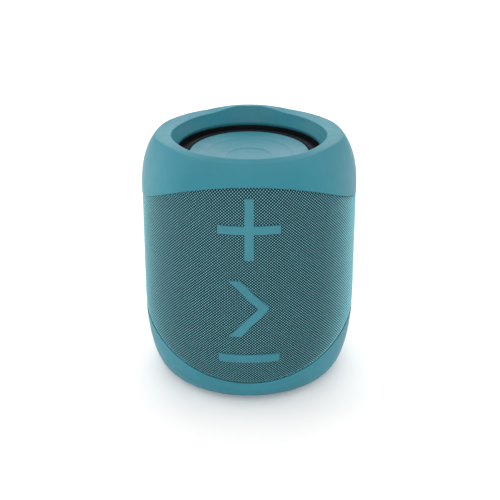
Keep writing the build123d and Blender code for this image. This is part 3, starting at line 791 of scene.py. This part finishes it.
@dataclass
class BaseCap:
    """The soft base: side up to the saddle seam, underside, foot groove and screw wells."""

    form: BodyForm
    finish: bpy.types.Material
    screw_finish: bpy.types.Material
    columns: int = 288
    groove_out: float = 36.1 * MM
    groove_in: float = 29.9 * MM
    groove_top: float = 2.2 * MM
    well_radius: float = 2.6 * MM
    well_top: float = 7.0 * MM
    inner_floor: float = 8.5 * MM
    head_radius: float = 2.3 * MM
    head_height: float = 1.5 * MM

    def stations(self, angle: np.ndarray) -> RingPoints:
        """The section's points at each angle, from the axis inside, up and out, and under.

        Args:
            angle: Angles off the front.

        Returns:
            Radius and height for each station in turn.
        """
        form = self.form
        flat = np.zeros_like(angle)
        seam = form.base_seam(angle)
        bottom = form.foot_z
        floor = flat + self.inner_floor
        low = np.minimum(floor, seam - 1.2 * MM)
        points = [
            (flat, floor - 1.5 * MM),
            (flat + self.groove_out, floor - 1.5 * MM),
            (form.outline(angle, low) - form.wall - 0.8 * MM, low),
            *form.skin(angle, seam, flat + bottom),
        ]
        for radius, height in (
            (self.groove_out + 0.2 * MM, bottom),
            (self.groove_out, bottom + 0.2 * MM),
            (self.groove_out, self.groove_top),
            (self.groove_in, self.groove_top),
            (self.groove_in, bottom + 0.2 * MM),
            (self.groove_in - 0.2 * MM, bottom),
            (20.0 * MM, bottom),
            (0.0, bottom),
        ):
            points.append((flat + radius, flat + height))
        return points

    def well_centres(self) -> list[tuple[float, float]]:
        """The four screw wells' centres."""
        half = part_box("base_screws")[1][0] - self.head_radius
        return [(x, y) for x in (-half, half) for y in (-half, half)]

    def bore_wells(self, piece: bpy.types.Object) -> None:
        """Sinks the screw wells into the underside.

        Args:
            piece: The base skin.
        """
        for x, y in self.well_centres():
            Bench.clear()
            bpy.ops.mesh.primitive_cylinder_add(
                vertices=40, radius=self.well_radius, depth=2 * self.well_top, location=(x, y, 0)
            )
            Bench.cut(piece, bpy.context.object)

    def build(self) -> list[bpy.types.Object]:
        """Builds and dresses the base and its screws.

        Returns:
            The base skin and the screw heads.
        """
        piece = Bench.ringed("base_skin", self.columns, self.stations)
        self.bore_wells(piece)
        Bench.smooth(piece, 40.0)
        Bench.dress(piece, self.finish, Slot.SHELL, Body.SHELL)
        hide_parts("base_cap")
        return [piece, self.build_screws()]

    def build_screws(self) -> bpy.types.Object:
        """Builds the four pan heads with their cross recess, facing down.

        Returns:
            One object holding all four.
        """
        heads = []
        for x, y in self.well_centres():
            Bench.clear()
            bpy.ops.mesh.primitive_cylinder_add(
                vertices=48,
                radius=self.head_radius,
                depth=self.head_height,
                location=(x, y, self.well_top - self.head_height / 2),
            )
            head = bpy.context.object
            bpy.ops.object.transform_apply(location=True, rotation=False, scale=False)
            Bench.modify(head, "BEVEL", width=0.45 * MM, segments=3, angle_limit=math.radians(60))
            for size in ((2.6, 0.5), (0.5, 2.6)):
                Bench.clear()
                bpy.ops.mesh.primitive_cube_add(
                    size=MM, location=(x, y, self.well_top - self.head_height), scale=(*size, 1.4)
                )
                Bench.cut(head, bpy.context.object, scaled=True)
            heads.append(head)
        Bench.clear()
        for head in heads:
            head.select_set(True)
        bpy.context.view_layer.objects.active = heads[0]
        bpy.ops.object.join()
        piece = bpy.context.object
        piece.name = "base_screw_heads"
        bpy.ops.object.transform_apply(location=True, rotation=True, scale=True)
        Bench.smooth(piece, 30.0)
        Bench.dress(piece, self.screw_finish, Slot.SCREW, Body.SHELL)
        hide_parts("base_screws")
        return piece


# ---------------------------------------------------------------- knit sleeve


@dataclass
class KnitSleeve:
    """The knit between the seams: every stitch head is raised on its own vertex."""

    form: BodyForm
    finish: bpy.types.Material
    keys: "FrontKeys"
    uv_name = "UVMap"
    half_columns: int = 420
    half_pitch: float = 0.64 * MM
    inset: float = 0.35 * MM
    relief: float = 0.2 * MM
    tuck: float = 0.3 * MM
    panel_half: float = 15.0 * MM
    panel_low: float = 15.5 * MM
    panel_high: float = 59.5 * MM
    panel_corner: float = 4.0 * MM
    start: float = field(init=False, default=0.0)

    def place(self, angle: np.ndarray, row: np.ndarray) -> tuple[np.ndarray, np.ndarray]:
        """Puts each vertex on the body, trimmed at both seams and raised per stitch.

        Args:
            angle: Angles off the front.
            row: Row numbers up the body.

        Returns:
            Radii and heights.
        """
        form = self.form
        low = form.base_seam(angle) + 0.1 * MM
        high = form.cap_seam(angle) - 0.1 * MM
        height = np.clip(self.start + row * self.half_pitch, low, high)
        column = np.rint((angle / math.pi + 1.0) / 2.0 * self.half_columns)
        sign = np.where((column + row) % 2 == 0, 1.0, -1.0)
        edge = np.minimum(height - low, high - height)
        tucked = self.tuck * (1.0 - ramp(edge, 0.0, 1.3 * MM))
        radius = form.outline(angle, height) - self.inset + self.relief * sign - tucked
        return radius, height

    def inside_opening(self, centre: Vector) -> bool:
        """Whether a point of the sleeve lies under a key or in the back panel's window.

        Args:
            centre: The point.

        Returns:
            True where the knit is cut away.
        """
        x, y, z = centre
        if y > 0:
            middle = (self.panel_low + self.panel_high) / 2
            tall = (self.panel_high - self.panel_low) / 2
            beyond_x = max(0.0, abs(x) - self.panel_half + self.panel_corner)
            beyond_z = max(0.0, abs(z - middle) - tall + self.panel_corner)
            return math.hypot(beyond_x, beyond_z) < self.panel_corner
        return self.keys.covers(x, z)

    def lay_stitches(self, piece: bpy.types.Object) -> None:
        """Writes the UV map: one unit is half a stitch cell each way.

        Args:
            piece: The sleeve.
        """
        mesh = piece.data
        layer = mesh.uv_layers.active or mesh.uv_layers.new(name=self.uv_name)
        layer.name = self.uv_name
        corner = np.empty(len(mesh.loops) * 2)
        layer.data.foreach_get("uv", corner)
        corner = corner.reshape(-1, 2)
        vertex = np.empty(len(mesh.loops), dtype=np.int32)
        mesh.loops.foreach_get("vertex_index", vertex)
        place = np.empty(len(mesh.vertices) * 3)
        mesh.vertices.foreach_get("co", place)
        corner[:, 0] = np.rint(corner[:, 0] * self.half_columns)
        corner[:, 1] = (place.reshape(-1, 3)[vertex, 2] - self.start) / self.half_pitch
        layer.data.foreach_set("uv", corner.ravel())

    def flat_size(self) -> tuple[float, float, float]:
        """The cloth's cut: the body's girth, its greatest height, and its area.

        Returns:
            Width, length and area in metres and square metres.
        """
        angle = np.linspace(-math.pi, math.pi, 721)
        tall = self.form.cap_seam(angle) - self.form.base_seam(angle)
        girth = 2.0 * math.pi * (self.form.radius - self.inset)
        panel = 2.0 * self.panel_half * (self.panel_high - self.panel_low)
        return girth, float(tall.max()), float(tall.mean()) * girth - panel

    def build(self) -> bpy.types.Object:
        """Builds, cuts and dresses the sleeve.

        Returns:
            The sleeve.
        """
        angle = np.linspace(-math.pi, math.pi, 181)
        self.start = float(self.form.base_seam(angle).min())
        tall = float(self.form.cap_seam(angle).max()) - self.start
        rows = int(tall / self.half_pitch) + 2
        piece = Bench.wrapped("knit_sleeve", self.half_columns, rows, self.place)
        self.lay_stitches(piece)
        Bench.drop_faces(piece, self.inside_opening)
        Bench.take(piece)
        bpy.ops.object.shade_smooth()
        Bench.dress(piece, self.finish, Slot.KNIT, Body.SHELL)
        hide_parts("fabric_sleeve")
        width, length, area = self.flat_size()
        return piece


# ---------------------------------------------------------------- front keys


@dataclass
class FrontKeys:
    """The three raised keys: a plus, a chevron and a minus."""

    form: BodyForm
    finish: bpy.types.Material
    proud: float = 0.45 * MM
    bevel: float = 0.45 * MM
    depth: float = 3.0 * MM
    stroke: float = 4.0 * MM
    chevron_reach: float = 12.8 * MM
    chevron_stroke: float = 5.2 * MM
    arm_cells: int = 12
    bar_cells: int = 6
    lap: float = 0.35 * MM
    boxes: dict[str, tuple[Sequence[float], Sequence[float]]] = field(init=False)

    def __post_init__(self) -> None:
        """Reads the three keys' boxes from the frame."""
        self.boxes = {name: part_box(name) for name in ("plus_button", "play_button", "minus_button")}

    def covers(self, x: float, z: float) -> bool:
        """Whether a point in front lies well under a key.

        Args:
            x: Across.
            z: Height.

        Returns:
            True under a key.
        """
        margin = self.lap
        half = self.stroke / 2 - margin
        low, high = self.boxes["plus_button"]
        middle = (low[2] + high[2]) / 2
        reach = high[0] - margin
        upright = abs(x) < half and low[2] + margin < z < high[2] - margin
        if upright or (abs(x) < reach and abs(z - middle) < half):
            return True
        low, high = self.boxes["minus_button"]
        if abs(x) < reach and abs(z - (low[2] + high[2]) / 2) < half:
            return True
        low, high = self.boxes["play_button"]
        middle = (low[2] + high[2]) / 2
        tall = (high[2] - low[2]) / 2
        if abs(z - middle) > tall - margin:
            return False
        left = low[0] + (1.0 - abs(z - middle) / tall) * self.chevron_reach
        return left + 1.4 * margin < x < left + self.chevron_stroke - 1.4 * margin

    def on_front(self, x: float, z: float) -> Vector:
        """The point of the keys' outer surface at x and z.

        Args:
            x: Across.
            z: Height.

        Returns:
            The point.
        """
        angle = np.array([math.asin(x / self.form.radius)])
        radius = float(self.form.outline(angle, np.array([z]))[0]) + self.proud
        return Vector((x, -math.sqrt(radius * radius - x * x), z))

    def plate(
        self, name: str, low: Sequence[float], high: Sequence[float], cells: tuple[int, int]
    ) -> bpy.types.Object:
        """Adds a flat grid over a box's front.

        Args:
            name: The piece's name.
            low: Its lowest x and z.
            high: Its highest x and z.
            cells: Faces across and up.

        Returns:
            The grid, standing in the XZ plane.
        """
        Bench.clear()
        bpy.ops.mesh.primitive_grid_add(x_subdivisions=cells[0], y_subdivisions=cells[1], size=2.0)
        piece = bpy.context.object
        piece.name = name
        for vertex in piece.data.vertices:
            across, up = (vertex.co.x + 1.0) / 2.0, (vertex.co.y + 1.0) / 2.0
            x = low[0] + (high[0] - low[0]) * across
            z = low[1] + (high[1] - low[1]) * up
            vertex.co = (x, 0.0, z)
        return piece

    def thicken(self, piece: bpy.types.Object, body: Body, node: str) -> bpy.types.Object:
        """Lays a flat key on the body's front, gives it depth and softens its edge.

        Args:
            piece: The flat key.
            body: The body it rides on.
            node: The CAD node it stands for.

        Returns:
            The finished key.
        """
        for vertex in piece.data.vertices:
            vertex.co = self.on_front(vertex.co.x, vertex.co.z)
        Bench.take(piece)
        bpy.ops.object.mode_set(mode="EDIT")
        bpy.ops.mesh.select_all(action="SELECT")
        bpy.ops.mesh.extrude_region_move(TRANSFORM_OT_translate={"value": (0.0, self.depth, 0.0)})
        bpy.ops.object.mode_set(mode="OBJECT")
        Bench.weld(piece)
        Bench.modify(
            piece,
            "BEVEL",
            width=self.bevel,
            segments=3,
            limit_method="ANGLE",
            angle_limit=math.radians(55),
        )
        Bench.smooth(piece, 40.0)
        Bench.dress(piece, self.finish, Slot.KEY, body)
        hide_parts(node)
        return piece

    def build_plus(self) -> bpy.types.Object:
        """Builds the plus: a grid with its four corners cut away.

        Returns:
            The key.
        """
        low, high = self.boxes["plus_button"]
        middle = (low[2] + high[2]) / 2
        half = self.stroke / 2
        xs, zs = (
            [
                *np.linspace(start, centre - half, self.arm_cells + 1)[:-1],
                *np.linspace(centre - half, centre + half, self.bar_cells + 1),
                *np.linspace(centre + half, end, self.arm_cells + 1)[1:],
            ]
            for start, centre, end in ((low[0], 0.0, high[0]), (low[2], middle, high[2]))
        )
        cells = (len(xs) - 1, len(zs) - 1)
        piece = self.plate("plus_key", (0, 0), cells, cells)
        for vertex in piece.data.vertices:
            vertex.co = (xs[round(vertex.co.x)], 0.0, zs[round(vertex.co.z)])
        Bench.drop_faces(piece, lambda spot: abs(spot.x) > half and abs(spot.z - middle) > half)
        return self.thicken(piece, Body.PLUS, "plus_button")

    def build_play(self) -> bpy.types.Object:
        """Builds the chevron: an upright bar whose middle is pushed across.

        Returns:
            The key.
        """
        low, high = self.boxes["play_button"]
        middle = (low[2] + high[2]) / 2
        tall = (high[2] - low[2]) / 2
        right = low[0] + self.chevron_stroke
        piece = self.plate("play_key", (low[0], low[2]), (right, high[2]), (7, 32))
        for vertex in piece.data.vertices:
            vertex.co.x += (1.0 - abs(vertex.co.z - middle) / tall) * self.chevron_reach
        return self.thicken(piece, Body.PLAY, "play_button")

    def build_minus(self) -> bpy.types.Object:
        """Builds the minus: a bar bent round the body.

        Returns:
            The key.
        """
        low, high = self.boxes["minus_button"]
        middle = (low[2] + high[2]) / 2
        half = self.stroke / 2
        piece = self.plate("minus_key", (low[0], middle - half), (high[0], middle + half), (30, 6))
        return self.thicken(piece, Body.MINUS, "minus_button")

    def build(self) -> list[bpy.types.Object]:
        """Builds all three keys.

        Returns:
            The keys.
        """
        return [self.build_plus(), self.build_play(), self.build_minus()]


# ---------------------------------------------------------------- top radiator


@dataclass
class Radiator:
    """The dished disc in the recess, with two plain steps, and the rubber roll that carries it."""

    disc_finish: bpy.types.Material
    rubber: bpy.types.Material
    columns: int = 192
    dish: float = 1.8 * MM
    thickness: float = 1.2 * MM
    edge_round: float = 0.35 * MM
    roll: float = 1.6 * MM
    sheet: float = 0.5 * MM
    lip: float = 1.6 * MM
    disc_gap: float = 0.3 * MM
    steps: tuple[tuple[float, float, float], ...] = (
        (9.6 * MM, 10.3 * MM, 0.3 * MM),
        (19.2 * MM, 19.8 * MM, 0.25 * MM),
    )

    def disc_section(self) -> Section:
        """The disc's section, from the axis over the dish, round the edge and back under.

        Returns:
            Radius and height pairs.
        """
        edge, _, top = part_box("radiator_disc")[1]
        points = []
        for radius in np.linspace(0.0, edge - self.edge_round, 72):
            share = radius / edge
            height = top - self.dish * (1.0 - share * share)
            for start, end, drop in self.steps:
                height -= drop * (1.0 - float(ramp(np.array(radius), start, end)))
            points.append((radius, height))
        for turn in np.linspace(0.25, 1.0, 4):
            swing = turn * math.pi / 2
            out = edge - self.edge_round * (1.0 - math.sin(swing))
            points.append((out, top - self.edge_round * (1.0 - math.cos(swing))))
        bottom = top - self.thickness
        points.append((edge, bottom + 0.1 * MM))
        points.append((edge - 0.1 * MM, bottom))
        points.append((0.6 * edge, bottom - 0.64 * self.dish))
        points.append((0.0, bottom - self.dish))
        return points

    def turned(self, name: str, section: Section) -> bpy.types.Object:
        """Turns a section round the axis.

        Args:
            name: The piece's name.
            section: Radius and height pairs.

        Returns:
            The turned piece.
        """

        def stations(angle: np.ndarray) -> RingPoints:
            """Holds the section's points level all round."""
            flat = np.zeros_like(angle)
            return [(flat + out, flat + up) for out, up in section]

        return Bench.ringed(name, self.columns, stations)

    def roll_half(self, outer: bool) -> Section:
        """Half of the roll's section, from its crest down to one lip.

        Args:
            outer: True for the half on the frame.

        Returns:
            Radius and height pairs of the roll's middle surface.
        """
        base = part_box("radiator_surround")[0][2] + self.sheet / 2
        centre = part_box("radiator_disc")[1][0] + self.disc_gap + self.roll
        mean = self.roll - self.sheet / 2
        way = 1.0 if outer else -1.0
        points = []
        for turn in np.linspace(0.0, 1.0, 10):
            swing = turn * math.pi / 2
            points.append((centre + way * mean * math.sin(swing), base + mean * math.cos(swing)))
        points.append((centre + way * (mean + 0.25 * MM), base - 0.02 * MM))
        points.append((centre + way * (mean + self.lip), base - 0.02 * MM))
        return points

    def build_roll(self, outer: bool) -> bpy.types.Object:
        """Builds one half of the roll.

        Args:
            outer: True for the half on the frame.

        Returns:
            The half roll.
        """
        section = self.roll_half(outer)
        piece = self.turned("roll_outer" if outer else "roll_inner", section)
        Bench.modify(piece, "SOLIDIFY", thickness=self.sheet, offset=0.0)
        Bench.smooth(piece, 60.0)
        Bench.dress(piece, self.rubber, Slot.RUBBER, None)
        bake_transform(piece)
        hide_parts("radiator_surround")
        return piece

    def build(self) -> list[bpy.types.Object]:
        """Builds the disc and its roll.

        Returns:
            The pieces.
        """
        disc = self.turned("dished_disc", self.disc_section())
        Bench.smooth(disc, 40.0)
        Bench.dress(disc, self.disc_finish, Slot.DISC, Body.RADIATOR)
        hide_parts("radiator_disc")
        return [disc, self.build_roll(True), self.build_roll(False)]


# ---------------------------------------------------------------- CAD pieces


@dataclass
class FramePieces:
    """CAD nodes whose shape is right: each gets a finish by its material slot."""

    finishes: dict[str, bpy.types.Material]

    def build(self) -> int:
        """Dresses every CAD node.

        Returns:
            How many nodes were dressed.
        """
        entries = frame["record"]["subparts"]
        for entry in entries:
            for holder in frame["nodes"][entry["node"]].material_slots:
                holder.material = self.finishes[entry["material_slot"]]
        return len(entries)


# ---------------------------------------------------------------- studio


@dataclass
class Studio:
    """Pale floor with a painted glow, five soft lights, a white backdrop and the camera."""

    distance: float = 0.6215
    elevation: float = 25.2
    aim_z: float = 0.0551
    lens: float = 97.4
    offset: float = 0.37 * MM
    floor_half: float = 1.2
    # The floor's painted glow: its strength near the speaker, and where it starts to rise.
    painted_glow_near: float = 0.12
    painted_glow_start: float = 0.2
    world_level: float = 0.3

    def floor(self) -> bpy.types.Object:
        """Lays the floor, which glows as painted light: weakly near the speaker and more strongly
        further out.

        Returns:
            The floor.
        """
        Bench.clear()
        bpy.ops.mesh.primitive_plane_add(size=2 * self.floor_half)
        piece = bpy.context.object
        piece.name = "floor"
        graph = Graph("floor_painted_glow")
        tone = graph.spread(graph.noise(2.0), 0.0, 1.0)
        reach = graph.add("VectorMath", Vector=graph.add("TexCoord").outputs["Object"])
        reach.operation = "LENGTH"
        # Painted light: the floor glows weakly near the speaker and more strongly further out, so it
        # reads white far off while the lamps' shadow shows close by.
        glow = graph.add(
            "MapRange",
            Value=reach.outputs["Value"],
            From_Min=self.painted_glow_start,
            From_Max=self.floor_half,
            To_Min=self.painted_glow_near,
            To_Max=1.0,
        )
        graph.surface(
            Base_Color=graph.mix(tone, (0.93, 0.91, 0.905), (0.94, 0.92, 0.915)),
            Roughness=0.9,
            Specular_IOR_Level=0.0,
            Emission_Color=(1.0, 0.96, 0.95),
            Emission_Strength=glow.outputs[0],
        )
        piece.data.materials.append(graph.material)
        return piece

    def lamp(self, name: str, place: Sequence[float], size: tuple[float, float], power: float) -> None:
        """Hangs a rectangular softbox that faces the speaker.

        Args:
            name: The lamp's name.
            place: Its position.
            size: Its width and height.
            power: Watts.
        """
        light = bpy.data.lights.new(name, "AREA")
        light.shape = "RECTANGLE"
        light.size, light.size_y = size
        light.energy = power
        lamp = bpy.data.objects.new(name, light)
        bpy.context.collection.objects.link(lamp)
        lamp.location = place
        aim = Vector((0.0, 0.0, self.aim_z)) - Vector(place)
        lamp.rotation_euler = aim.to_track_quat("-Z", "Y").to_euler()

    def camera(self) -> None:
        """Sets the camera at its viewing angle."""
        data = bpy.data.cameras.new("camera")
        data.lens = self.lens
        data.sensor_width = 36.0
        data.clip_start = 0.01
        camera = bpy.data.objects.new("camera", data)
        bpy.context.collection.objects.link(camera)
        tilt = math.radians(self.elevation)
        back = self.distance * math.cos(tilt)
        camera.location = (self.offset, -back, self.aim_z + self.distance * math.sin(tilt))
        camera.rotation_euler = (math.pi / 2 - tilt, 0.0, 0.0)
        bpy.context.scene.camera = camera

    def build(self) -> None:
        """Builds the floor, the backdrop, the lights and the camera."""
        self.floor()
        self.backdrop()
        self.lamp("left_box", (-0.9, 0.35, 0.4), (0.8, 0.8), 4.2)
        self.lamp("right_box", (0.9, 0.35, 0.4), (0.8, 0.8), 3.2)
        self.lamp("back_box", (0.0, 1.3, 0.9), (1.6, 0.9), 13.0)
        self.lamp("top_box", (0.0, 0.0, 1.5), (2.2, 2.2), 15.5)
        self.lamp("front_box", (-0.15, -1.35, 0.42), (1.2, 0.6), 9.0)
        self.camera()

    def backdrop(self) -> None:
        """Sets a soft world light that the camera sees as plain white."""
        world = bpy.data.worlds.new("studio")
        world.use_nodes = True
        tree = world.node_tree
        chooser = tree.nodes.new("ShaderNodeMixShader")
        path = tree.nodes.new("ShaderNodeLightPath")
        tree.links.new(path.outputs["Is Camera Ray"], chooser.inputs[0])
        shades = (tree.nodes["Background"], tree.nodes.new("ShaderNodeBackground"))
        for number, (shade, level) in enumerate(zip(shades, (self.world_level, 1.0)), start=1):
            shade.inputs[0].default_value = (1.0, 1.0, 1.0, 1.0)
            shade.inputs[1].default_value = level
            tree.links.new(shade.outputs[0], chooser.inputs[number])
        tree.links.new(chooser.outputs[0], tree.nodes["World Output"].inputs[0])
        bpy.context.scene.world = world
        bpy.context.scene.view_settings.view_transform = "Standard"


# ---------------------------------------------------------------- main


def finishes() -> dict[str, bpy.types.Material]:
    """Makes one material for each slot of the record.

    Returns:
        Materials by slot name.
    """
    teal = (0.029, 0.205, 0.262)
    kinds = {
        "soft_shell": SoftTouch("soft_teal", teal),
        "button_plastic": SoftTouch("key_teal", (0.034, 0.195, 0.245), roughness=0.5),
        # The knit's pit colour holds painted shade of the recesses as well as the dark yarn.
        "knit": KnitCloth("knit_heads_and_shaded_pits", (0.185, 0.53, 0.6), (0.0004, 0.01, 0.016)),
        "frame_plastic": Moulded("black_plastic", (0.006, 0.007, 0.008), 0.6, specular=0.2),
        "black_rubber": Moulded("black_rubber", (0.003, 0.007, 0.009), 0.65, specular=0.15),
        "disc_plastic": SoftTouch("disc_teal", (0.033, 0.215, 0.275), roughness=0.42, sheen=0.0),
        "weight_steel": PlatedMetal("zinc_steel", (0.55, 0.55, 0.56)),
        "screw_steel": PlatedMetal("black_zinc", (0.12, 0.12, 0.125), 0.4),
        "cone_paper": Moulded("cone_paper", (0.03, 0.03, 0.032), 0.85, 3000.0, 0.00003),
        "coil_copper": PlatedMetal("enamelled_copper", (0.75, 0.36, 0.2), 0.3),
        "board": Moulded("solder_mask", (0.01, 0.12, 0.05), 0.35, coat=0.4),
        "component": Moulded("component_black", (0.025, 0.025, 0.027), 0.45),
        "shield_metal": PlatedMetal("tinned_steel", (0.7, 0.7, 0.71), 0.25),
        "cell_wrap": Moulded("shrink_wrap", (0.03, 0.12, 0.4), 0.25, coat=0.3),
        "key_plastic": Moulded("rear_key_rubber", (0.03, 0.032, 0.034), 0.6),
        "clear_plastic": FrostedLens("frosted_lens", (0.85, 0.9, 0.9)),
        "lead_insulation": Moulded("lead_red", (0.45, 0.02, 0.015), 0.45),
    }
    return {slot: kind.build() for slot, kind in kinds.items()}


def report(pieces: Iterable[bpy.types.Object]) -> None:
    """Logs each piece's name and face count.

    Args:
        pieces: The pieces.
    """
    for piece in pieces:
        LOG.info("%s: %d faces", piece.name, len(piece.data.polygons))


def main() -> None:
    """Builds every sub-assembly in order."""
    logging.basicConfig(level=logging.INFO, format="%(message)s")
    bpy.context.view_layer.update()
    finish = finishes()
    form = BodyForm()
    keys = FrontKeys(form, finish["button_plastic"])
    LOG.info("CAD nodes dressed: %d", FramePieces(finish).build())
    report([TopCap(form, finish["soft_shell"]).build()])
    report(BaseCap(form, finish["soft_shell"], finish["screw_steel"]).build())
    report([KnitSleeve(form, finish["knit"], keys).build()])
    report(keys.build())
    report(Radiator(finish["disc_plastic"], finish["black_rubber"]).build())
    Studio().build()


if __name__ == "__main__":
    main()
